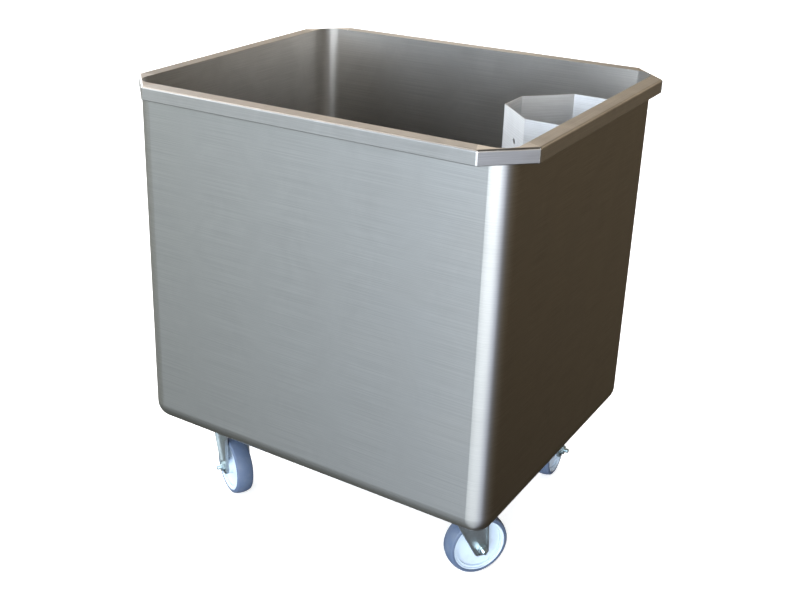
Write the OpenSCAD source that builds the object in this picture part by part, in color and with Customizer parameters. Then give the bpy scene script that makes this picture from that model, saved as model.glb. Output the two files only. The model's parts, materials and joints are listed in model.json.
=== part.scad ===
// Mobile stainless-steel tub on four swivel castors.
// Origin: on the floor, under the middle of the rim. +X runs along the long side, +Y to the back, +Z up.

/* [Tub] */
// Length of the tub over its side walls
tub_l = 766; // [500:1:1100]
// Width of the tub over its end walls
tub_w = 636; // [420:1:900]
// Height from the underside of the floor pan to the top of the rim
tub_h = 708; // [400:1:900]
// Thickness of the tub's sheet
sheet_t = 2; // [1.5:0.1:3]
// Outside radius of the four upright corners
corner_r = 37; // [25:1:60]
// Outside radius of the bottom edges, never more than the upright corners
floor_r = 37; // [20:1:60]

/* [Rim] */
// How far the rim stands out from the wall
rim_out = 27; // [20:1:40]
// Height of the rim's outer band
rim_drop = 26; // [18:1:40]
// Outside radius of the fold between the rim's flat and its band
rim_bend_r = 4; // [3:0.5:8]
// Width of the return folded inwards under the band
rim_return = 10; // [6:1:14]
// Gap between a chamfered rim corner and the wall's round corner
corner_gap = 0.6; // [0.3:0.1:3]
// Width of the ground mitre welds
weld_w = 3; // [2:0.5:5]

/* [Guard] */
// Thickness of the guard's sheet
guard_t = 1.5; // [1:0.1:3]
// Width of the guard's flat front face
guard_front = 68; // [40:1:120]
// How far each diagonal face runs sideways, and as far back
guard_leg = 72; // [40:1:100]
// Distance from the wall to the guard's front face
guard_depth = 148; // [110:1:200]
// Depth of the guard's top edge below the rim
guard_drop = 10; // [5:1:60]
// Gap under the guard, above the tub's floor
guard_foot = 40; // [40:1:120]
// Outside radius of the guard's folds
guard_bend_r = 3; // [2:0.5:6]
// Diameter of the hole in the front-left diagonal
guard_hole_d = 11; // [6:0.5:20]
// Distance from the guard's top edge down to the hole
guard_hole_down = 51; // [20:1:200]
// Distance from the front fold along the diagonal to the hole
guard_hole_along = 58; // [15:1:80]
// Leg of the fillet welds that hold the guard
guard_weld_leg = 3; // [2:0.5:5]
// Length of each stitch weld
guard_weld_l = 30; // [10:1:60]
// Number of stitch welds down each side
guard_weld_n = 5; // [2:1:8]

/* [Castor fixing] */
// Distance from the tub's end to a swivel axis
swivel_in_x = 106; // [70:1:160]
// Distance from the tub's side to a swivel axis
swivel_in_y = 121; // [60:1:160]
// Length of a welded mounting pad
pad_l = 120; // [110:1:150]
// Width of a welded mounting pad
pad_w = 100; // [90:1:120]
// Height of a welded mounting pad
pad_h = 20; // [12:1:40]
// Thickness of a mounting pad's sheet
pad_t = 3; // [2:0.5:5]
// Outside radius of a mounting pad's folds
pad_bend_r = 6; // [6:0.5:10]
// Length of a castor's top plate
plate_l = 105; // [96:1:110]
// Width of a castor's top plate
plate_w = 85; // [76:1:90]
// Thickness of a castor's top plate
plate_t = 3; // [2.5:0.5:5]
// Corner radius of the top plate
plate_r = 8; // [4:1:12]
// Distance between the studs along the tub
stud_x = 80; // [76:1:84]
// Distance between the studs across the tub
stud_y = 60; // [56:1:64]
// Diameter of the studs
stud_d = 8; // [6:1:10]
// How far a stud stands out past its nut
stud_end = 2; // [1:0.5:3]

/* [Swivel] */
// Height of a castor from the floor to the top of its plate
castor_h = 160; // [150:1:200]
// How far the wheel's axle trails behind the swivel axis
trail = 37; // [30:1:50]
// Diameter of the kingpin
pin_d = 12; // [10:0.5:16]
// Diameter of the swivel's balls
ball_d = 8; // [6:0.5:9]
// Number of balls in a swivel
ball_n = 15; // [8:1:17]
// Radius of the circle that the balls run on
ball_ring_r = 25; // [24:0.5:27]
// Width of a ball race
race_w = 17; // [14:1:19]
// Thickness of the upper race
race_upper_t = 6; // [5:0.5:8]
// Thickness of the lower race
race_lower_t = 4; // [3.5:0.5:6]
// Thickness of the skirt that hides the balls
skirt_t = 2; // [1.5:0.5:3]

/* [Fork] */
// Thickness of the fork's sheet
fork_t = 2.5; // [2:0.5:4]
// Outside radius of the folds between crown and legs
fork_bend_r = 8; // [6:1:12]
// Distance from the axle to the leg's lower end and its two sides
leg_r = 15; // [13:0.5:18]
// Radius of the two corners at the leg's lower end
leg_foot_r = 8; // [5:0.5:12]
// Radius of the leg's top corners
leg_top_r = 14; // [8:1:14]
// Distance from the axle back to the leg's outer top corner
leg_lead = 4; // [0:1:8]
// Distance from the axle back to the leg's inner top corner
leg_back = 44; // [28:1:48]
// Width of the lip folded out round each leg
lip_w = 2.5; // [1.5:0.5:3]
// Height of that lip
lip_h = 4; // [1:0.5:5]
// Diameter of the wheel bolt
axle_d = 10; // [8:1:12]
// Width across the flats of the wheel bolt's head and nut
axle_af = 17; // [15:1:19]
// How far the thread stands out past the nut
axle_end = 8.5; // [2:0.5:10]

/* [Wheel] */
// Diameter of the wheel over its tyre
wheel_d = 125; // [100:1:125]
// Width of the tyre
tyre_w = 36; // [30:1:40]
// Radius of the tyre's shoulders
shoulder_r = 9; // [6:0.5:12]
// Radius of the tread's crown across the wheel
tread_crown_r = 44; // [36:1:80]
// Radial thickness of the tyre over the middle of its seat
tyre_t = 13; // [12:0.5:18]
// Width of the wheel centre's raised lip
wheel_lip_w = 3.5; // [2.5:0.5:5]
// How far the lip stands out past the tyre's seat
wheel_lip_rise = 4; // [2:0.5:6]
// Height of the lip above the flange that the tyre's side rests on
wheel_lip_h = 4; // [3:0.5:6]
// Thickness of that flange
flange_t = 1.5; // [1:0.5:3]
// How far the lip lies inside the tyre's width
lip_set_back = 0.7; // [0:0.1:2]
// Depth of the wheel's face below its lip
face_depth = 7; // [3:0.5:8]
// Distance from the lip to the middle of the groove in the tyre's side
groove_gap = 2.2; // [1.6:0.1:3]
// Radius of that groove
groove_r = 1; // [0.5:0.1:1.4]
// Radius of the wheel's hub
hub_r = 17; // [14:0.5:22]
// How far the hub is wider than the tyre at each side
hub_proud = 2.5; // [1:0.5:4]
// Outside diameter of the sleeve that the wheel turns on
sleeve_d = 16; // [14:0.5:20]

/* [Castor directions] */
// Direction that the front left wheel trails in
yaw_front_left = 330; // [0:1:359]
// Direction that the front right wheel trails in
yaw_front_right = 55; // [0:1:359]
// Direction that the back left wheel trails in
yaw_back_left = 24; // [0:1:359]
// Direction that the back right wheel trails in
yaw_back_right = 95; // [0:1:359]

/* [Clearances] */
// Radial clearance of the wheel on its sleeve and of the kingpin in the crown
run_fit = 0.06; // [0.02:0.01:0.09]
// Radial clearance of a bolt or stud in its nut
thread_fit = 0.05; // [0.02:0.01:0.1]
// Radial clearance of a bolt, stud or ball in what it passes through
hole_fit = 0.1; // [0.05:0.05:0.5]
// Radial clearance of a stud in the castor's top plate
stud_fit = 0.5; // [0.3:0.1:1]
// Gap between faces that turn past each other
side_play = 0.4; // [0.2:0.1:1]

/* [Hidden] */
$fn = 96;
eps = 0.01;

CORNERS = ["front_left", "front_right", "back_left", "back_right"];
CASTOR_PARTS = ["top_plate", "kingpin", "swivel_balls", "fork", "axle_bolt", "axle_nut", "axle_sleeve",
                "wheel_centre", "tyre", "mounting_pad"];

// Heights of the tub
z_floor = castor_h + pad_h;
z_rim = z_floor + tub_h;
pan_r = min(floor_r, corner_r);
z_wall = z_floor + pan_r;

// Rim: an octagon whose corner faces just clear the wall's round corners
rim_l = tub_l + 2 * rim_out;
rim_w = tub_w + 2 * rim_out;
chamfer = 2 * (rim_out + corner_r) - sqrt(2) * (corner_r + corner_gap + sheet_t);
corner_dist = (rim_l / 2 + rim_w / 2 - chamfer) / sqrt(2);
rim_reach = rim_l + rim_w;

// Guard
guard_x = tub_l / 2 - sheet_t;
guard_half = guard_front / 2 + guard_leg;
guard_run = guard_depth - guard_leg;
guard_z0 = z_floor + sheet_t + guard_foot;
guard_z1 = z_rim - guard_drop;

// Swivel, from the top plate down to the fork's crown
z_plate = castor_h - plate_t;
z_race_upper = z_plate - race_upper_t;
ball_gap = ball_d / 4;
z_ball = z_race_upper - ball_gap / 2;
z_race_lower = z_race_upper - ball_gap;
z_crown = z_race_lower - race_lower_t;
race_in_r = ball_ring_r - race_w / 2;
race_out_r = ball_ring_r + race_w / 2;
skirt_r = race_out_r + side_play;
collar_r = race_in_r - 2 * side_play - 2;
pin_head_r = pin_d / 2 + 7;
pin_head_h = 4;

// Fixings
washer_t = 1.6;
washer_r = stud_d;
nut_h = 0.8 * stud_d;
nut_af = 1.625 * stud_d;
stud_z0 = z_plate - washer_t - nut_h - stud_end;

// Wheel and fork
wheel_r = wheel_d / 2;
hub_w = tyre_w + 2 * hub_proud;
fork_gap = hub_w + 2 * side_play;
leg_y = fork_gap / 2 + fork_t;
axle_head_h = 0.64 * axle_d;
axle_nut_h = axle_d;
seat_r = wheel_r - tyre_t;
lip_out_r = seat_r + wheel_lip_rise;
lip_y = tyre_w / 2 - lip_set_back;
flange_y = lip_y - wheel_lip_h;
face_y = lip_y - face_depth;
groove_x = lip_out_r + groove_gap;

// name, side of the tub in X and Y, trailing direction
CASTORS = [
    [CORNERS[0], -1, -1, yaw_front_left],
    [CORNERS[1], 1, -1, yaw_front_right],
    [CORNERS[2], -1, 1, yaw_back_left],
    [CORNERS[3], 1, 1, yaw_back_right]];

// ---- shared shapes ----

module rounded_rect(l, w, r) {
    square([l - 2 * r, w], center = true);
    square([l, w - 2 * r], center = true);
    for (x = [-1, 1], y = [-1, 1]) translate([x * (l / 2 - r), y * (w / 2 - r)]) circle(r = r);
}

// Space inside the tub's side wall, from the height z up
module inside_wall(z, h) {
    translate([0, 0, z]) linear_extrude(height = h)
        rounded_rect(tub_l - 2 * sheet_t, tub_w - 2 * sheet_t, corner_r - sheet_t);
}

// Solid tray, r high, with round bottom edges of radius r and upright corners of radius c
module tray(l, w, c, r) {
    linear_extrude(height = r) {
        square([l - 2 * r, w - 2 * c], center = true);
        square([l - 2 * c, w - 2 * r], center = true);
    }
    intersection() {
        union() {
            for (s = [-1, 1]) translate([0, s * (w / 2 - r), r])
                rotate([0, 90, 0]) cylinder(r = r, h = l - 2 * c, center = true);
            for (s = [-1, 1]) translate([s * (l / 2 - r), 0, r])
                rotate([90, 0, 0]) cylinder(r = r, h = w - 2 * c, center = true);
        }
        translate([-l, -w, 0]) cube([2 * l, 2 * w, r]);
    }
    for (x = [-1, 1], y = [-1, 1]) translate([x * (l / 2 - c), y * (w / 2 - c), 0])
        rotate_extrude() intersection() {
            union() {
                translate([c - r, r]) circle(r = r);
                square([c - r + eps, r]);
            }
            square([c, r]);
        }
}

// Hexagonal prism along Z with its outer face chamfered
module hex(af, h) {
    corner = af / 2 / cos(30);
    bevel = (corner - af / 2) * tan(30);
    intersection() {
        cylinder(r = corner, h = h, $fn = 6);
        union() {
            cylinder(r = corner + eps, h = h - bevel);
            translate([0, 0, h - bevel]) cylinder(r1 = corner + eps, r2 = af / 2, h = bevel);
        }
    }
}

module at_swivel(c) {
    translate([c[1] * (tub_l / 2 - swivel_in_x), c[2] * (tub_w / 2 - swivel_in_y), 0]) children();
}

// Frame of a castor that trails along +X, with its nut on the -Y side
module at_castor(c) {
    at_swivel(c) rotate([0, 0, c[3]]) children();
}

module at_axle() {
    translate([trail, 0, wheel_r]) rotate([90, 0, 0]) children();
}

module at_studs() {
    for (x = [-1, 1], y = [-1, 1]) translate([x * stud_x / 2, y * stud_y / 2, 0]) children();
}

// ---- tub ----

module side_wall() {
    color("silver") difference() {
        translate([0, 0, z_wall]) linear_extrude(height = z_rim - sheet_t - z_wall)
            rounded_rect(tub_l, tub_w, corner_r);
        inside_wall(z_wall - 1, tub_h);
    }
}

module floor_pan() {
    color("silver") difference() {
        translate([0, 0, z_floor]) tray(tub_l, tub_w, corner_r, pan_r);
        translate([0, 0, z_floor + sheet_t])
            tray(tub_l - 2 * sheet_t, tub_w - 2 * sheet_t, corner_r - sheet_t, pan_r - sheet_t);
        inside_wall(z_wall, 1);
    }
}

// ---- rim ----

// Block to the left of the Y axis and below the X axis, with its two right-hand corners rounded
module round_ended(l, h, r_top, r_foot) {
    translate([-l, -h + r_foot]) square([l, h - r_foot - r_top]);
    translate([-l, -h]) square([l - r_foot, h / 2 + 1]);
    translate([-l, -h / 2]) square([l - r_top, h / 2]);
    translate([-r_top, -r_top]) circle(r = r_top);
    translate([-r_foot, -h + r_foot]) circle(r = r_foot);
}

// Section through the rim: flat top, outer band and the return under it
module rim_section(return_w) {
    reach = rim_out + 2 * corner_r;
    difference() {
        round_ended(reach, rim_drop, rim_bend_r, sheet_t);
        translate([-sheet_t, -sheet_t])
            round_ended(reach, rim_drop - 2 * sheet_t, rim_bend_r - sheet_t, eps);
        translate([-reach - 1, -rim_drop - 1]) square([reach + 1 - return_w, rim_drop + 1 - sheet_t]);
    }
}

// Outward direction, distance from the middle, return width, half length and sideways shift of a rim run
function rim_angle(i) = -90 + 45 * i;
function rim_dist(i) = i % 2 == 1 ? corner_dist : (i % 4 == 0 ? rim_w : rim_l) / 2;
function rim_return_w(i) = i % 2 == 1 ? sheet_t : rim_return;
function rim_half(i) = i % 2 == 1 ? chamfer / sqrt(2) : (i % 4 == 0 ? rim_l : rim_w) / 2 - chamfer;
function rim_shift(i) = i % 2 == 0 ? 0 : (i % 4 == 1 ? 1 : -1) * (rim_l - rim_w) / (2 * sqrt(2));

// Wedge of plan between the mitres at the two ends of a run, cut back by trim at each mitre
module rim_wedge(i, trim) {
    depth = rim_out + 2 * corner_r;
    slope = tan(22.5);
    cut = trim / cos(22.5);
    outer = rim_half(i) + slope * rim_out - cut;
    inner = rim_half(i) - slope * depth - cut;
    rotate([0, 0, rim_angle(i)]) translate([rim_dist(i), rim_shift(i), z_rim - rim_drop - 1])
        linear_extrude(height = rim_drop + 2)
            if (inner > 0) polygon([[rim_out, -outer], [rim_out, outer], [-depth, inner], [-depth, -inner]]);
            else polygon([[rim_out, -outer], [rim_out, outer], [-(rim_half(i) - cut) / slope, 0]]);
}

module rim_run(i) {
    difference() {
        rotate([0, 0, rim_angle(i)]) translate([rim_dist(i), 0, z_rim]) rotate([90, 0, 0])
            linear_extrude(height = rim_reach, center = true) rim_section(rim_return_w(i));
        inside_wall(z_rim - sheet_t - 1, sheet_t + 2);
    }
}

module rim_piece(i) {
    color("silver") intersection() {
        rim_run(i);
        rim_wedge(i, weld_w / 2);
    }
}

// One bead in each mitre, a little proud where the faces on its two sides fall away from it
module rim_welds() {
    color("whitesmoke") for (i = [0 : 2 : 6], s = [-1, 1]) difference() {
        rotate([0, 0, rim_angle(i)]) translate([rim_dist(i), s * rim_half(i), z_rim])
            rotate([90, 0, s * 22.5]) linear_extrude(height = weld_w, center = true) rim_section(sheet_t);
        inside_wall(z_rim - sheet_t - 1, sheet_t + 2);
    }
}

// ---- guard ----

module guard_outline() {
    offset(r = guard_bend_r, $fn = 32) offset(delta = -guard_bend_r) polygon([
        [guard_x + 4 * guard_bend_r, -guard_half],
        [guard_x - guard_run, -guard_half],
        [guard_x - guard_depth, -guard_front / 2],
        [guard_x - guard_depth, guard_front / 2],
        [guard_x - guard_run, guard_half],
        [guard_x + 4 * guard_bend_r, guard_half]]);
}

module guard() {
    color("gainsboro") difference() {
        translate([0, 0, guard_z0]) linear_extrude(height = guard_z1 - guard_z0) intersection() {
            difference() {
                guard_outline();
                offset(delta = -guard_t) guard_outline();
            }
            translate([guard_x - 2 * guard_depth, -guard_half]) square([2 * guard_depth, 2 * guard_half]);
        }
        translate([guard_x - guard_depth, -guard_front / 2, guard_z1 - guard_hole_down])
            rotate([0, 0, -45]) translate([guard_hole_along, 0, 0]) rotate([90, 0, 0])
                cylinder(d = guard_hole_d, h = 6 * guard_t, center = true);
    }
}

module guard_welds() {
    pitch = (guard_z1 - guard_z0 - 2 * guard_weld_l) / (guard_weld_n - 1);
    color("whitesmoke") for (s = [-1, 1], k = [0 : guard_weld_n - 1])
        translate([guard_x, s * guard_half, guard_z0 + guard_weld_l / 2 + k * pitch])
            linear_extrude(height = guard_weld_l)
                polygon([[0, 0], [-guard_weld_leg, 0], [0, s * guard_weld_leg]]);
}

// ---- castor fixing ----

// Channel w wide over two folds of radius r, drawn with Z up, its web's lower face at z
module channel(w, z, r) {
    translate([-w / 2, pad_bend_r]) square([w, pad_h]);
    translate([-w / 2 + r, z]) square([w - 2 * r, pad_h]);
    for (s = [-1, 1]) translate([s * (w / 2 - r), pad_bend_r]) circle(r = r);
}

module mounting_pad(c) {
    color("silver") at_swivel(c) translate([0, 0, castor_h]) rotate([90, 0, 90])
        linear_extrude(height = pad_l, center = true) intersection() {
            difference() {
                channel(pad_w, 0, pad_bend_r);
                channel(pad_w - 2 * pad_t, pad_t, pad_bend_r - pad_t);
            }
            translate([-pad_w, 0]) square([2 * pad_w, pad_h]);
        }
}

module weld_studs() {
    color("silver") for (c = CASTORS) at_swivel(c) at_studs()
        translate([0, 0, stud_z0]) cylinder(d = stud_d, h = castor_h - stud_z0);
}

module plate_washers() {
    color("gainsboro") for (c = CASTORS) at_swivel(c) at_studs()
        translate([0, 0, z_plate - washer_t]) difference() {
            cylinder(r = washer_r, h = washer_t);
            translate([0, 0, -1]) cylinder(r = stud_d / 2 + hole_fit, h = washer_t + 2);
        }
}

module plate_nuts() {
    color("gainsboro") for (c = CASTORS) at_swivel(c) at_studs()
        translate([0, 0, z_plate - washer_t]) mirror([0, 0, 1]) difference() {
            hex(nut_af, nut_h);
            translate([0, 0, -1]) cylinder(r = stud_d / 2 + thread_fit, h = nut_h + 2);
        }
}

// ---- castors ----

module ball_track() {
    translate([0, 0, z_ball]) rotate_extrude()
        translate([ball_ring_r, 0]) circle(r = ball_d / 2 + hole_fit);
}

module top_plate(c) {
    color("lightgray") at_swivel(c) difference() {
        union() {
            translate([0, 0, z_plate]) linear_extrude(height = plate_t) rounded_rect(plate_l, plate_w, plate_r);
            translate([0, 0, z_race_upper]) cylinder(r = skirt_r + skirt_t, h = race_upper_t);
            translate([0, 0, z_race_lower - ball_gap]) cylinder(r = skirt_r + skirt_t, h = 2 * ball_gap);
        }
        translate([0, 0, z_crown]) cylinder(r = skirt_r, h = z_race_upper - z_crown);
        translate([0, 0, z_crown]) cylinder(r = race_in_r, h = z_plate - z_crown);
        translate([0, 0, z_crown]) cylinder(r = pin_d / 2 + hole_fit, h = castor_h);
        at_studs() cylinder(r = stud_d / 2 + stud_fit, h = castor_h + 1);
        ball_track();
    }
}

module kingpin(c) {
    z_head = z_crown - fork_t - side_play;
    color("gray") at_swivel(c) union() {
        translate([0, 0, z_head - eps]) cylinder(d = pin_d, h = castor_h - z_head + eps);
        translate([0, 0, z_crown + side_play]) cylinder(r = collar_r, h = z_plate - z_crown - side_play);
        translate([0, 0, z_head - pin_head_h / 2]) cylinder(r = pin_head_r, h = pin_head_h / 2);
        translate([0, 0, z_head - pin_head_h])
            cylinder(r1 = pin_head_r - 3, r2 = pin_head_r, h = pin_head_h / 2);
    }
}

module swivel_balls(c) {
    color("white") at_castor(c) for (k = [0 : ball_n - 1]) rotate([0, 0, 360 / ball_n * k])
        translate([ball_ring_r, 0, z_ball]) sphere(d = ball_d);
}

// Side view of a leg, drawn with Z up, each corner circle made smaller by inset
module leg_outline(inset) {
    foot = leg_r - leg_foot_r;
    hull() {
        for (s = [-1, 1]) translate([trail + s * foot, wheel_r - foot])
            circle(r = leg_foot_r - inset, $fn = 48);
        for (back = [leg_lead, leg_back]) translate([trail - back, z_crown - leg_top_r / 2])
            circle(r = leg_top_r - inset, $fn = 48);
    }
}

// Section across the fork, drawn with Z up: two legs joined by the crown
module fork_section() {
    difference() {
        union() {
            translate([-leg_y, 0]) square([2 * leg_y, z_crown - fork_bend_r]);
            translate([-leg_y + fork_bend_r, 0]) square([2 * (leg_y - fork_bend_r), z_crown]);
            for (s = [-1, 1]) translate([s * (leg_y - fork_bend_r), z_crown - fork_bend_r])
                circle(r = fork_bend_r);
        }
        translate([-fork_gap / 2, -1]) square([fork_gap, z_crown - fork_bend_r + 1]);
        translate([-leg_y + fork_bend_r, -1]) square([2 * (leg_y - fork_bend_r), z_crown - fork_t + 1]);
        for (s = [-1, 1]) translate([s * (leg_y - fork_bend_r), z_crown - fork_bend_r])
            circle(r = fork_bend_r - fork_t);
    }
}

module fork(c) {
    z_lip = z_crown - fork_bend_r - leg_top_r / 2;
    color("lightsteelblue") at_castor(c) difference() {
        union() {
            intersection() {
                rotate([90, 0, 90]) linear_extrude(height = 4 * trail, center = true) fork_section();
                rotate([90, 0, 0]) linear_extrude(height = 4 * leg_y, center = true) leg_outline(0);
            }
            for (s = [-1, 1]) intersection() {
                translate([0, s * (leg_y + lip_h / 2), 0]) rotate([90, 0, 0])
                    linear_extrude(height = lip_h, center = true) difference() {
                        leg_outline(0);
                        leg_outline(lip_w);
                    }
                translate([-2 * trail, -2 * leg_y, 0]) cube([6 * trail, 4 * leg_y, z_lip]);
            }
            translate([0, 0, z_crown - fork_t]) cylinder(r = skirt_r + skirt_t, h = fork_t);
            translate([0, 0, z_crown]) cylinder(r = race_out_r, h = race_lower_t);
        }
        translate([0, 0, z_crown]) cylinder(r = race_in_r, h = race_lower_t + 1);
        cylinder(r = pin_d / 2 + run_fit, h = castor_h);
        ball_track();
        at_axle() cylinder(r = axle_d / 2 + hole_fit, h = 6 * leg_y, center = true);
    }
}

module axle_bolt(c) {
    shank = 2 * leg_y + axle_nut_h + axle_end;
    color("silver") at_castor(c) at_axle() {
        translate([0, 0, -leg_y]) cylinder(d = axle_d, h = shank - 1);
        translate([0, 0, -leg_y + shank - 1]) cylinder(d1 = axle_d, d2 = axle_d - 2, h = 1);
        translate([0, 0, -leg_y]) mirror([0, 0, 1]) hex(axle_af, axle_head_h);
    }
}

module axle_nut(c) {
    color("gainsboro") at_castor(c) at_axle()
        translate([0, 0, leg_y]) difference() {
            hex(axle_af, axle_nut_h);
            translate([0, 0, -1]) cylinder(r = axle_d / 2 + thread_fit, h = axle_nut_h + 2);
        }
}

module axle_sleeve(c) {
    color("gray") at_castor(c) at_axle() difference() {
        cylinder(d = sleeve_d, h = fork_gap, center = true);
        cylinder(r = axle_d / 2 + hole_fit, h = fork_gap + 1, center = true);
    }
}

// Section through the wheel centre: X is the radius, Y runs along the axle
module wheel_centre_section() {
    flange_in_r = seat_r - wheel_lip_w;
    translate([0, -hub_w / 2]) square([hub_r, hub_w]);
    translate([0, -face_y]) square([seat_r, 2 * face_y]);
    translate([flange_in_r, -flange_y - eps]) square([wheel_lip_w, 2 * (flange_y + eps)]);
    for (m = [0, 1]) mirror([0, m]) {
        translate([flange_in_r, flange_y]) square([lip_out_r - flange_in_r, flange_t]);
        translate([lip_out_r - wheel_lip_w, flange_y]) square([wheel_lip_w, lip_y - wheel_lip_w / 2 - flange_y]);
        translate([lip_out_r - wheel_lip_w / 2, lip_y - wheel_lip_w / 2]) circle(d = wheel_lip_w);
    }
}

module wheel_centre(c) {
    color("aliceblue") at_castor(c) at_axle() difference() {
        rotate_extrude() wheel_centre_section();
        cylinder(r = sleeve_d / 2 + run_fit, h = hub_w + 2, center = true);
    }
}

module tyre_section() {
    difference() {
        intersection() {
            union() {
                translate([0, -tyre_w / 2]) square([wheel_r - shoulder_r, tyre_w]);
                translate([0, -tyre_w / 2 + shoulder_r]) square([wheel_r, tyre_w - 2 * shoulder_r]);
                for (s = [-1, 1]) translate([wheel_r - shoulder_r, s * (tyre_w / 2 - shoulder_r)])
                    circle(r = shoulder_r);
            }
            translate([wheel_r - tread_crown_r, 0]) circle(r = tread_crown_r);
        }
        translate([-1, -tyre_w]) square([seat_r + 1, 2 * tyre_w]);
        for (s = [-1, 1]) {
            translate([-1, s > 0 ? flange_y : -flange_y - tyre_w]) square([lip_out_r + 1, tyre_w]);
            translate([groove_x, s * (tyre_w / 2 + groove_r / 5)]) circle(r = groove_r);
        }
    }
}

module tyre(c) {
    color("slategray") at_castor(c) at_axle() rotate_extrude() tyre_section();
}

// ---- nodes ----

side_wall();
floor_pan();
rim_piece(0);  // rim_front
rim_piece(1);  // rim_corner_front_right
rim_piece(2);  // rim_right
rim_piece(3);  // rim_corner_back_right
rim_piece(4);  // rim_back
rim_piece(5);  // rim_corner_back_left
rim_piece(6);  // rim_left
rim_piece(7);  // rim_corner_front_left
rim_welds();
guard();
guard_welds();
weld_studs();
plate_washers();
plate_nuts();
for (c = CASTORS) {
    mounting_pad(c);
    top_plate(c);
    kingpin(c);
    swivel_balls(c);
    fork(c);
    axle_bolt(c);
    axle_nut(c);
    axle_sleeve(c);
    wheel_centre(c);
    tyre(c);
}
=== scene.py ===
"""Looks of a mobile stainless-steel tub on four swivel castors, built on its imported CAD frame.

The frame gives every shape of the tub and its castors. This script gives each node its finish, puts a
detailed bolt where the frame has a plain one, and sets up the studio: floor, light and camera.
"""

import json
import logging
import math
from collections.abc import Callable, Iterable, Sequence
from dataclasses import dataclass
from enum import Enum
from typing import Any, NamedTuple

import bmesh
import bpy
from mathutils import Matrix, Vector

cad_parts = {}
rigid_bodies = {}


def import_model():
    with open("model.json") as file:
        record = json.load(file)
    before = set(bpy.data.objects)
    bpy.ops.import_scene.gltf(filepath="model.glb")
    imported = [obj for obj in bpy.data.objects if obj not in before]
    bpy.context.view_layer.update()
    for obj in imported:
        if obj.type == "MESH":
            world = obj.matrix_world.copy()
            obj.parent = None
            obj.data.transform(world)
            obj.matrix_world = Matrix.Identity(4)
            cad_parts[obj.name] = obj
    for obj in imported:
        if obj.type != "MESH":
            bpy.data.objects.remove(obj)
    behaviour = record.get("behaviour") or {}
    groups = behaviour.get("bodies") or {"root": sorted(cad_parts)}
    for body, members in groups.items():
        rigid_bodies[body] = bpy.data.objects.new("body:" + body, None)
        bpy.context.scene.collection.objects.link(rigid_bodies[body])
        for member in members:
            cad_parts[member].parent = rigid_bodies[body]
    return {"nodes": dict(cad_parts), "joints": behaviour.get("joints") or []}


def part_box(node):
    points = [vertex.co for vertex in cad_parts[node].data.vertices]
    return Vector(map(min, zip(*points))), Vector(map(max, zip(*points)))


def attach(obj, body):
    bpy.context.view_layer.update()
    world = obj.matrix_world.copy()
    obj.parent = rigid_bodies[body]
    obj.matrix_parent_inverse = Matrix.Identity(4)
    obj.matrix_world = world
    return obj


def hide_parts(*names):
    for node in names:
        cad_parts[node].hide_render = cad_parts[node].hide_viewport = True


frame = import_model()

LOG = logging.getLogger("tub")
MM = 0.001
MM_PER_METRE = 1000
# Most of a noise texture's values lie between these two.
NOISE_LOW, NOISE_HIGH = 0.3, 0.7
# Tolerance when two heights along a bolt are compared, in metres.
TINY = 1e-9
Point = tuple[float, float, float]
Stops = Sequence[tuple[float, str]]


# ---------------------------------------------------------------- small helpers


def linear(hex_code: str) -> tuple[float, float, float, float]:
    """Turns an sRGB colour into the linear one that shaders take.

    Args:
        hex_code: The colour as "#rrggbb".

    Returns:
        Linear red, green and blue, and an alpha of 1.
    """
    raw = hex_code.lstrip("#")
    channels = [int(raw[i : i + 2], 16) / 255 for i in (0, 2, 4)]
    red, green, blue = (c / 12.92 if c <= 0.04045 else ((c + 0.055) / 1.055) ** 2.4 for c in channels)
    return red, green, blue, 1.0


def add(tree: bpy.types.NodeTree, kind: str, inputs: dict[Any, Any] | None = None,
        **settings: Any) -> bpy.types.Node:
    """Adds a shader node with its settings, values and links.

    Args:
        tree: The node tree that takes the node.
        kind: The node's type, without the leading "ShaderNode".
        inputs: Socket name or number to a value, or to another node's output socket, which is linked.
        **settings: Properties of the node.

    Returns:
        The new node.
    """
    node = tree.nodes.new("ShaderNode" + kind)
    for name, value in settings.items():
        setattr(node, name, value)
    for key, value in (inputs or {}).items():
        if isinstance(value, bpy.types.NodeSocket):
            tree.links.new(value, node.inputs[key])
        else:
            node.inputs[key].default_value = value
    return node


def fill_ramp(node: bpy.types.Node, stops: Stops) -> bpy.types.NodeSocket:
    """Sets a colour ramp's stops.

    Args:
        node: A colour ramp node.
        stops: Places from 0 to 1, in order, each with its sRGB colour.

    Returns:
        The ramp's colour output.
    """
    elements = node.color_ramp.elements
    while len(elements) > 1:
        elements.remove(elements[-1])
    elements[0].position, elements[0].color = stops[0][0], linear(stops[0][1])
    for place, colour in stops[1:]:
        elements.new(place).color = linear(colour)
    return node.outputs["Color"]


def spread(value: bpy.types.NodeSocket, low: float, high: float, start: float = NOISE_LOW,
           end: float = NOISE_HIGH) -> dict[str, Any]:
    """Gives the inputs that spread a value's range from start to end over low to high."""
    return {"Value": value, "From Min": start, "From Max": end, "To Min": low, "To Max": high}


def new_material(name: str) -> tuple[bpy.types.Material, bpy.types.NodeTree]:
    """Makes an empty node material.

    Args:
        name: The material's name.

    Returns:
        The material and its node tree, which holds only an output node.
    """
    material = bpy.data.materials.new(name)
    material.use_nodes = True
    tree = material.node_tree
    tree.nodes.clear()
    add(tree, "OutputMaterial")
    return material, tree


def finish_material(tree: bpy.types.NodeTree, shader: bpy.types.Node) -> None:
    """Links a shader to the material's output."""
    tree.links.new(shader.outputs[0], tree.nodes["Material Output"].inputs["Surface"])


def dress(node: bpy.types.Object, material: bpy.types.Material) -> None:
    """Gives every slot of an object the same material."""
    if not node.material_slots:
        node.data.materials.append(material)
    for slot in node.material_slots:
        slot.material = material


# ---------------------------------------------------------------- finishes


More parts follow.
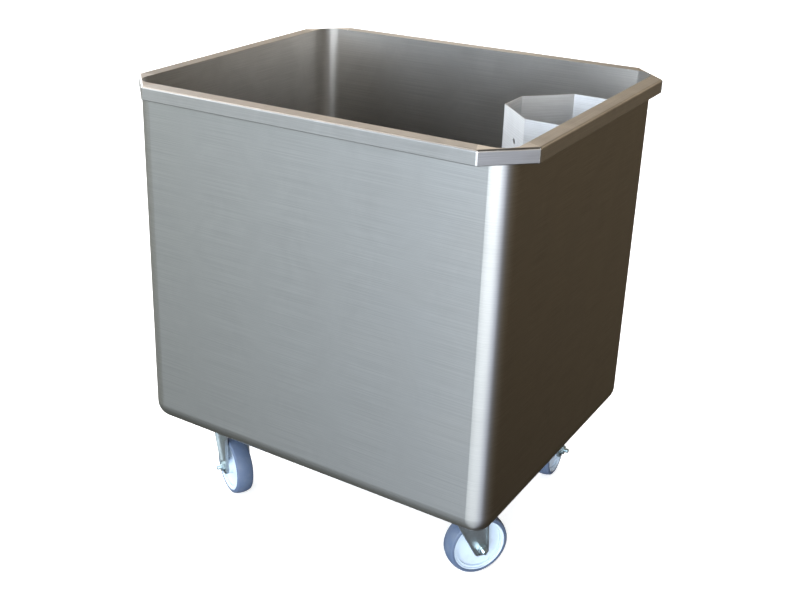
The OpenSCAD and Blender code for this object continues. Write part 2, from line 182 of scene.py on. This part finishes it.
class Brushing(NamedTuple):
    """How the lines of a brushed sheet lie.

    Attributes:
        along: Weights of X, Y and Z that give a place's distance along the lines.
        across: Weights that give its distance across them.
        axis: The axis that the tangent runs round.
        turn: How far the highlight is turned from that tangent, as a share of a full turn.
    """

    along: Point
    across: Point
    axis: str
    turn: float


class Grain(Enum):
    """Which way a sheet was brushed. Round the tub, Y counts more, so that no two walls have equal lines."""

    AROUND = Brushing((1.0, 1.7, 0.0), (0.0, 0.0, 1.0), "Z", 0.25)
    ALONG_X = Brushing((1.0, 0.0, 0.0), (0.0, 1.0, 1.0), "X", 0.0)
    ALONG_Y = Brushing((0.0, 1.0, 0.0), (1.0, 0.0, 1.0), "Y", 0.0)


@dataclass(frozen=True)
class BrushedStainless:
    """Brushed 304 stainless sheet, pressed, folded and used.

    A belt leaves fine parallel lines, which spread each highlight across the lines much more than along
    them. Handling leaves soft blotches, a little duller than the rest.
    """

    name: str
    grain: Grain
    colour: str = "#c6c3be"
    roughness: float = 0.30
    anisotropy: float = 0.5
    blotch_mm: float = 110.0
    blotch: float = 0.09
    # Real lines are under 0.1 mm apart. They are drawn 1.2 mm apart, or they wouldn't show.
    line_mm: float = 1.2
    line_length_mm: float = 160.0
    line: float = 0.08
    line_height: float = 0.04
    line_height_mm: float = 0.2

    def build(self) -> bpy.types.Material:
        """Returns the material."""
        material, tree = new_material(self.name)
        place = add(tree, "TexCoord").outputs["Object"]
        along, across = (
            add(tree, "VectorMath", {0: place, 1: Vector(weights)}, operation="DOT_PRODUCT").outputs["Value"]
            for weights in (self.grain.value.along, self.grain.value.across))
        sheet = add(tree, "CombineXYZ", {"X": along, "Y": across}).outputs[0]
        stretch = Vector((MM_PER_METRE / self.line_length_mm, MM_PER_METRE / self.line_mm, 1))
        drawn = add(tree, "Mapping", {"Vector": sheet, "Scale": stretch}).outputs[0]
        lines = add(tree, "TexNoise", {"Vector": drawn, "Scale": 1.0, "Detail": 0.0}).outputs[0]
        blotches = add(tree, "TexNoise", {
            "Vector": place, "Scale": MM_PER_METRE / self.blotch_mm, "Detail": 4.0, "Roughness": 0.55,
            "Distortion": 0.6}).outputs[0]
        cloudy = add(tree, "MapRange", spread(blotches, 1 - self.blotch, 1 + self.blotch / 2)).outputs[0]
        lined = add(tree, "MapRange", spread(lines, 1 - self.line, 1 + self.line / 2)).outputs[0]
        worn = add(tree, "Math", {0: cloudy, 1: lined}, operation="MULTIPLY").outputs[0]
        tone = add(tree, "Mix", {"Factor": 1.0, "A": linear(self.colour), "B": worn}, data_type="RGBA",
                   blend_type="MULTIPLY").outputs["Result"]
        duller, brighter = self.roughness + 0.03, self.roughness - 0.02
        rough = add(tree, "MapRange", spread(blotches, duller, brighter)).outputs[0]
        bump = add(tree, "Bump", {"Height": lines, "Strength": self.line_height,
                                  "Distance": self.line_height_mm * MM}).outputs[0]
        tangent = add(tree, "Tangent", direction_type="RADIAL", axis=self.grain.value.axis).outputs[0]
        finish_material(tree, add(tree, "BsdfPrincipled", {
            "Base Color": tone, "Metallic": 1.0, "Roughness": rough, "Anisotropic": self.anisotropy,
            "Anisotropic Rotation": self.grain.value.turn, "Tangent": tangent, "Normal": bump}))
        return material


@dataclass(frozen=True)
class PlatedSteel:
    """Steel with a thin metal coat, such as blue zinc, or bare bright steel.

    The coat follows the rolled surface under it, so it is even, softly cloudy and slightly satin.
    """

    name: str
    colour: str
    roughness: float = 0.38
    cloud_mm: float = 9.0
    cloud: float = 0.16
    grit: float = 0.12
    grit_mm: float = 0.625
    grit_height_mm: float = 0.2

    def build(self) -> bpy.types.Material:
        """Returns the material."""
        material, tree = new_material(self.name)
        place = add(tree, "TexCoord").outputs["Object"]
        clouds = add(tree, "TexNoise", {"Vector": place, "Scale": MM_PER_METRE / self.cloud_mm,
                                        "Detail": 4.0}).outputs[0]
        grit = add(tree, "TexNoise", {"Vector": place, "Scale": MM_PER_METRE / self.grit_mm,
                                      "Detail": 2.0}).outputs[0]
        cloudy = add(tree, "MapRange", spread(clouds, 1 - self.cloud, 1 + self.cloud / 3)).outputs[0]
        tone = add(tree, "Mix", {"Factor": 1.0, "A": linear(self.colour), "B": cloudy}, data_type="RGBA",
                   blend_type="MULTIPLY").outputs["Result"]
        duller, brighter = self.roughness + 0.07, self.roughness - 0.05
        rough = add(tree, "MapRange", spread(clouds, duller, brighter)).outputs[0]
        bump = add(tree, "Bump", {"Height": grit, "Strength": self.grit,
                                  "Distance": self.grit_height_mm * MM}).outputs[0]
        finish_material(tree, add(tree, "BsdfPrincipled", {
            "Base Color": tone, "Metallic": 1.0, "Roughness": rough, "Normal": bump}))
        return material


@dataclass(frozen=True)
class MouldedPolymer:
    """Plastic or rubber from a mould: an even colour, a fine eroded texture, and light soiling."""

    name: str
    colour: str
    soil: str
    roughness: float
    ior: float
    soil_share: float = 0.35
    # Values of the patches' noise at which soiling starts, and at which it is full.
    soil_range: tuple[float, float] = (0.48, 0.72)
    patch_mm: float = 18.2
    grit_mm: float = 0.9
    grit: float = 0.2
    grit_height_mm: float = 0.3

    def build(self) -> bpy.types.Material:
        """Returns the material."""
        material, tree = new_material(self.name)
        place = add(tree, "TexCoord").outputs["Object"]
        patches = add(tree, "TexNoise", {"Vector": place, "Scale": MM_PER_METRE / self.patch_mm,
                                         "Detail": 5.0, "Roughness": 0.62}).outputs[0]
        grit = add(tree, "TexNoise", {"Vector": place, "Scale": MM_PER_METRE / self.grit_mm,
                                      "Detail": 3.0}).outputs[0]
        share = add(tree, "MapRange", spread(patches, 0.0, self.soil_share, *self.soil_range)).outputs[0]
        tone = add(tree, "Mix", {"Factor": share, "A": linear(self.colour), "B": linear(self.soil)},
                   data_type="RGBA").outputs["Result"]
        cleaner, dirtier = self.roughness - 0.06, self.roughness + 0.1
        rough = add(tree, "MapRange", spread(patches, cleaner, dirtier)).outputs[0]
        bump = add(tree, "Bump", {"Height": grit, "Strength": self.grit,
                                  "Distance": self.grit_height_mm * MM}).outputs[0]
        finish_material(tree, add(tree, "BsdfPrincipled", {
            "Base Color": tone, "Roughness": rough, "IOR": self.ior, "Normal": bump}))
        return material


# ---------------------------------------------------------------- tub


@dataclass
class Tub:
    """The welded tub: wall, floor pan, rim, guard and the pads under it."""

    nodes: dict[str, bpy.types.Object]
    wall: BrushedStainless = BrushedStainless("Brushed_stainless_wall", Grain.AROUND)
    long_rim: BrushedStainless = BrushedStainless(
        "Brushed_stainless_rim_long", Grain.ALONG_X, "#bcb9b4", roughness=0.35, anisotropy=0.7, blotch_mm=60)
    short_rim: BrushedStainless = BrushedStainless(
        "Brushed_stainless_rim_short", Grain.ALONG_Y, roughness=0.43, anisotropy=0.6, blotch_mm=60)
    # The guard is duller than the wall, like sheet that was folded as it left the mill. Its paler colour is
    # painted light, for the bright light from the front that falls on the guard.
    folded: BrushedStainless = BrushedStainless(
        "Mill_finish_stainless_guard", Grain.AROUND, "#eceef0", roughness=0.52)
    bead: PlatedSteel = PlatedSteel("Ground_stainless_weld", "#d2cfca", roughness=0.3, cloud_mm=4)
    pad: BrushedStainless = BrushedStainless("Brushed_stainless_pad", Grain.ALONG_X, blotch_mm=40)

    def dress(self) -> None:
        """Gives each node of the tub its finish."""
        finishes: dict[str, BrushedStainless | PlatedSteel] = {
            "side_wall": self.wall, "floor_pan": self.wall,
            "rim_front": self.long_rim, "rim_back": self.long_rim,
            "rim_left": self.short_rim, "rim_right": self.short_rim,
            "rim_corner": self.wall, "rim_welds": self.bead, "guard_welds": self.bead,
            "guard": self.folded, "mounting_pad": self.pad, "weld_studs": self.pad}
        made = {finish.name: finish.build() for finish in finishes.values()}
        for name, node in self.nodes.items():
            keys = [k for k in finishes if name == k or name.startswith(k + "_")]
            if keys:
                finish = finishes[max(keys, key=len)]
                dress(node, made[finish.name])
                LOG.info("%s: %s", name, finish.name)


# ---------------------------------------------------------------- castors


@dataclass
class AxleBolt:
    """A hexagon bolt with a rolled thread, which stands for the frame's plain one."""

    centre: Vector
    axis: Vector
    material: bpy.types.Material
    diameter: float = 10 * MM
    pitch: float = 1.5 * MM
    depth: float = 0.75 * MM
    across_flats: float = 17 * MM
    head: float = 6.4 * MM
    grip: float = 46.8 * MM
    shank: float = 65.3 * MM
    plain: float = 40.0 * MM
    tip_chamfer: float = 1.2 * MM
    tip_slope: float = 0.9
    steps: int = 36
    rows_per_pitch: int = 6
    # The head from its outer face to the shank: how far it reaches, as a share of half the flats, and its
    # height, as a share of the head's. The corners lie at 1.155, so 1.16 leaves them whole.
    head_profile: Sequence[tuple[float, float]] = (
        (0.86, 0.999), (0.93, 0.985), (1.02, 0.93), (1.11, 0.86), (1.16, 0.80), (1.16, 0.06), (0.97, 0.04),
        (0.97, 0.0))

    def build(self, name: str) -> bpy.types.Object:
        """Makes the bolt along its axis, with its head at the far side from the nut.

        Args:
            name: The new piece's name.

        Returns:
            The bolt, in place.
        """
        mesh = bmesh.new()
        self.hexagon(mesh)
        self.shaft(mesh)
        data = bpy.data.meshes.new(name)
        bmesh.ops.recalc_face_normals(mesh, faces=mesh.faces)
        mesh.to_mesh(data)
        mesh.free()
        turn = self.axis.to_track_quat("Z", "Y").to_matrix().to_4x4()
        data.transform(Matrix.Translation(self.centre) @ turn)
        bolt = bpy.data.objects.new(name, data)
        bpy.context.scene.collection.objects.link(bolt)
        bolt.data.materials.append(self.material)
        return bolt

    @staticmethod
    def ring(mesh: bmesh.types.BMesh, radius: Callable[[float], float], z: float,
             count: int) -> list[bmesh.types.BMVert]:
        """Adds a closed ring of points.

        Args:
            mesh: The mesh that takes the points.
            radius: Gives the radius at an angle.
            z: Height along the bolt.
            count: Number of points.

        Returns:
            The new vertices, in order.
        """
        turns = [2 * math.pi * k / count for k in range(count)]
        return [mesh.verts.new((radius(a) * math.cos(a), radius(a) * math.sin(a), z)) for a in turns]

    @staticmethod
    def skin(mesh: bmesh.types.BMesh, rings: Sequence[list[bmesh.types.BMVert]]) -> None:
        """Joins rings into a closed skin with a cap at each end."""
        for low, high in zip(rings, rings[1:]):
            for k in range(len(low)):
                j = (k + 1) % len(low)
                mesh.faces.new((low[k], low[j], high[j], high[k]))
        mesh.faces.new(list(reversed(rings[0])))
        mesh.faces.new(rings[-1])

    def hexagon(self, mesh: bmesh.types.BMesh) -> None:
        """Adds the head: flats cut by a chamfer cone, with a round washer face under it."""
        flat = self.across_flats / 2
        under = -self.grip / 2
        sixth = math.pi / 3

        def edge(limit: float) -> Callable[[float], float]:
            return lambda a: min(limit, flat / math.cos((a + sixth / 2) % sixth - sixth / 2))

        self.skin(mesh, [self.ring(mesh, edge(flat * reach), under - height * self.head, 2 * self.steps)
                         for reach, height in self.head_profile])

    def shaft(self, mesh: bmesh.types.BMesh) -> None:
        """Adds the shank: plain under the head, then a thread whose crests wind round it, then a chamfer."""
        start = -self.grip / 2
        thread, tip = start + self.plain, start + self.shank
        rows = [start, thread]
        while rows[-1] < tip - TINY:
            rows.append(min(rows[-1] + self.pitch / self.rows_per_pitch, tip))

        def radius(z: float) -> Callable[[float], float]:
            outer = self.diameter / 2
            worn = max(0.0, z - (tip - self.tip_chamfer)) * self.tip_slope

            def at(angle: float) -> float:
                if z < thread + TINY:
                    return outer
                phase = ((z - start) / self.pitch - angle / (2 * math.pi)) % 1.0
                return min(outer - self.depth * abs(2 * phase - 1), outer - worn)

            return at

        self.skin(mesh, [self.ring(mesh, radius(z), z, self.steps) for z in rows])


@dataclass
class Castors:
    """The four swivel castors: fork, wheel, axle and swivel."""

    nodes: dict[str, bpy.types.Object]
    joints: Sequence[dict[str, Any]]
    fork: PlatedSteel = PlatedSteel("Zinc_plated_fork", "#aab2b4", roughness=0.42)
    hardware: PlatedSteel = PlatedSteel("Blue_zinc_hardware", "#cfe2e8", roughness=0.3, cloud_mm=3)
    steel: PlatedSteel = PlatedSteel("Bright_bearing_steel", "#d8d8d6", roughness=0.18, cloud_mm=5)
    tyre: MouldedPolymer = MouldedPolymer("Moulded_thermoplastic_rubber", "#516079", "#727a84", 0.5, 1.5)
    centre: MouldedPolymer = MouldedPolymer("Moulded_polypropylene", "#c4d3e3", "#a9b0b8", 0.42, 1.49,
                                            soil_share=0.3)

    def dress(self) -> None:
        """Gives each node of the castors its finish, and puts the threaded bolts in."""
        finishes: dict[str, PlatedSteel | MouldedPolymer] = {
            "fork": self.fork, "top_plate": self.fork, "kingpin": self.steel, "swivel_balls": self.steel,
            "axle_bolt": self.hardware, "axle_nut": self.hardware, "axle_sleeve": self.steel,
            "plate_nuts": self.hardware, "plate_washers": self.hardware,
            "wheel_centre": self.centre, "tyre": self.tyre}
        made = {finish.name: finish.build() for finish in finishes.values()}
        for name, node in self.nodes.items():
            for key, finish in finishes.items():
                if name == key or name.startswith(key + "_"):
                    dress(node, made[finish.name])
                    LOG.info("%s: %s", name, finish.name)
        for joint in self.joints:
            if joint["name"].startswith("roll_"):
                self.bolt(joint, made[self.hardware.name])

    def bolt(self, joint: dict[str, Any], material: bpy.types.Material) -> None:
        """Puts a threaded bolt in place of the frame's plain one.

        Args:
            joint: The wheel's rolling joint, whose axis the bolt lies on.
            material: The bolt's finish.
        """
        corner = joint["name"].removeprefix("roll_")
        centre = Vector(joint["pos_m"])
        low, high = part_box("axle_nut_" + corner)
        axis = Vector(joint["axis"]).normalized()
        if ((low + high) / 2 - centre).dot(axis) < 0:
            axis = -axis
        piece = AxleBolt(centre, axis, material).build("threaded_axle_bolt_" + corner)
        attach(piece, joint["parent"])
        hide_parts("axle_bolt_" + corner)
        LOG.info("%s rides on %s", piece.name, joint["parent"])


# ---------------------------------------------------------------- studio


@dataclass
class Studio:
    """Pale floor, soft light and camera."""

    # The camera stands 2.3 m from the tub's middle and half a metre above its rim, and looks down at it.
    camera_place: Point = (1.0723, -1.8372, 1.3843)
    camera_azimuth: float = 34.004
    camera_elevation: float = 22.639
    camera_roll: float = 0.587
    lens_mm: float = 51.51
    sensor_mm: float = 36.0
    shift: tuple[float, float] = (0.0939, -0.0416)
    far: float = 200.0
    floor_size: float = 60.0
    floor_tones: tuple[str, str] = ("#fbfbfb", "#f7f7f7")
    floor_cloud_m: float = 1 / 3
    # A little light of its own keeps the floor pale under the tub.
    floor_glow: float = 0.55
    # Surroundings by bearing, from the back round by the left, front and right to the back again: below the
    # horizon, above it, and overhead. A window stands a little right of the front, and the room beyond it to
    # the right is dark.
    low_room: Stops = (
        (0.000, "#3a342b"), (0.120, "#4c4840"), (0.250, "#686c6a"), (0.350, "#717777"), (0.385, "#7b8283"),
        (0.405, "#98a2aa"), (0.425, "#919ca7"), (0.440, "#98a4b2"), (0.453, "#e6f2fc"), (0.585, "#e6f2fe"),
        (0.617, "#d2deee"), (0.668, "#a8b0c2"), (0.698, "#686b72"), (0.740, "#555351"), (0.790, "#474137"),
        (0.900, "#3a3227"), (1.000, "#352f25"))
    high_room: Stops = (
        (0.000, "#4c453b"), (0.046, "#3e382f"), (0.055, "#474038"), (0.064, "#565047"), (0.074, "#6c665f"),
        (0.100, "#5e5750"), (0.118, "#564f49"), (0.140, "#909294"), (0.170, "#ccd2d8"), (0.330, "#a4a8ac"),
        (0.380, "#98a0a8"), (0.415, "#747c86"), (0.460, "#747e8a"), (0.478, "#f0f7ff"), (0.600, "#f4f9ff"),
        (0.640, "#5c5954"), (0.760, "#383228"), (0.900, "#4c453b"), (1.000, "#4c453b"))
    roof: Stops = (
        (0.000, "#1a1816"), (0.170, "#2c2824"), (0.210, "#8c857e"), (0.320, "#8c8884"), (0.380, "#1a1816"),
        (1.000, "#141210"))
    # Heights, from -1 straight down to 1 straight up, between which one band turns into the next.
    high_blend: tuple[float, float] = (-0.12, 0.16)
    roof_blend: tuple[float, float] = (0.34, 0.60)
    # How bright the room is by height, from straight down to straight up.
    height_light: Stops = (
        (0.00, "#505050"), (0.21, "#5a5a5a"), (0.29, "#787878"), (0.36, "#858585"), (0.48, "#8c8c8c"),
        (0.53, "#ffffff"), (1.00, "#ffffff"))
    room_strength: float = 9.5
    sky_strength: float = 1.9
    sky_width: float = 110.0
    sky_tilt: tuple[float, float] = (14, -8)

    def build(self) -> None:
        """Makes the floor, the light and the camera."""
        self.floor()
        self.room()
        self.skylight()
        self.camera()

    def floor(self) -> None:
        """Makes the plain pale floor. Only the camera sees it, so the room lights the tub from below."""
        bpy.ops.mesh.primitive_plane_add(size=self.floor_size, location=(0, 0, 0))
        plane = bpy.context.active_object
        plane.name = "studio_floor"
        material, tree = new_material("Matt_white_paint")
        place = add(tree, "TexCoord").outputs["Object"]
        clouds = add(tree, "TexNoise", {"Vector": place, "Scale": 1 / self.floor_cloud_m}).outputs[0]
        first, second = (linear(tone) for tone in self.floor_tones)
        tone = add(tree, "Mix", {"Factor": clouds, "A": first, "B": second},
                   data_type="RGBA").outputs["Result"]
        finish_material(tree, add(tree, "BsdfPrincipled", {
            "Base Color": tone, "Roughness": 0.9, "Specular IOR Level": 0.0,
            "Emission Color": tone, "Emission Strength": self.floor_glow}))
        plane.data.materials.append(material)
        plane.visible_glossy = plane.visible_diffuse = False

    def room(self) -> None:
        """Makes the room's soft light, which differs by bearing, and below and above the horizon."""
        world = bpy.data.worlds.new("studio_room")
        bpy.context.scene.world = world
        world.use_nodes = True
        tree = world.node_tree
        tree.nodes.clear()
        way = add(tree, "SeparateXYZ", {0: add(tree, "TexCoord").outputs["Generated"]}).outputs
        forward = add(tree, "Math", {0: way["Y"], 1: -1.0}, operation="MULTIPLY").outputs[0]
        bearing = add(tree, "Math", {0: way["X"], 1: forward}, operation="ARCTAN2").outputs[0]
        share = add(tree, "MapRange", spread(bearing, 0.0, 1.0, -math.pi, math.pi)).outputs[0]
        low, high, roof = (fill_ramp(add(tree, "ValToRGB", {"Fac": share}), stops)
                           for stops in (self.low_room, self.high_room, self.roof))
        tone = low
        for layer, blend in ((high, self.high_blend), (roof, self.roof_blend)):
            rise = add(tree, "MapRange", spread(way["Z"], 0.0, 1.0, *blend),
                       interpolation_type="SMOOTHSTEP").outputs[0]
            tone = add(tree, "Mix", {"Factor": rise, "A": tone, "B": layer},
                       data_type="RGBA").outputs["Result"]
        height = add(tree, "MapRange", spread(way["Z"], 0.0, 1.0, -1.0, 1.0)).outputs[0]
        light = fill_ramp(add(tree, "ValToRGB", {"Fac": height}), self.height_light)
        strength = add(tree, "Math", {0: light, 1: self.room_strength}, operation="MULTIPLY").outputs[0]
        back = add(tree, "Background", {"Color": tone, "Strength": strength}).outputs[0]
        add(tree, "OutputWorld", {"Surface": back})

    def skylight(self) -> None:
        """Adds a broad overhead light, which shiny surfaces don't mirror."""
        data = bpy.data.lights.new("skylight", "SUN")
        data.energy, data.angle = self.sky_strength, math.radians(self.sky_width)
        light = bpy.data.objects.new("skylight", data)
        bpy.context.scene.collection.objects.link(light)
        light.rotation_euler = (math.radians(self.sky_tilt[0]), math.radians(self.sky_tilt[1]), 0)
        light.visible_glossy = False

    def camera(self) -> None:
        """Makes the camera and takes it as the scene's own."""
        azimuth, elevation, roll = (math.radians(a) for a in (
            self.camera_azimuth, self.camera_elevation, self.camera_roll))
        back = Vector((math.sin(azimuth) * math.cos(elevation), -math.cos(azimuth) * math.cos(elevation),
                       math.sin(elevation)))
        right = Vector((math.cos(azimuth), math.sin(azimuth), 0))
        up = back.cross(right)
        columns = (right * math.cos(roll) + up * math.sin(roll),
                   up * math.cos(roll) - right * math.sin(roll), back)
        data = bpy.data.cameras.new("camera")
        data.sensor_width, data.lens = self.sensor_mm, self.lens_mm
        data.shift_x, data.shift_y = self.shift
        data.clip_end = self.far
        camera = bpy.data.objects.new("camera", data)
        bpy.context.scene.collection.objects.link(camera)
        camera.matrix_world = Matrix.Translation(self.camera_place) @ Matrix(columns).transposed().to_4x4()
        bpy.context.scene.camera = camera


def main() -> None:
    """Builds the looks round the frame."""
    logging.basicConfig(level=logging.INFO, format="%(message)s")
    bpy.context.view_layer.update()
    bpy.context.scene.view_settings.view_transform = "Standard"
    Tub(frame["nodes"]).dress()
    Castors(frame["nodes"], frame["joints"]).dress()
    Studio().build()


if __name__ == "__main__":
    main()
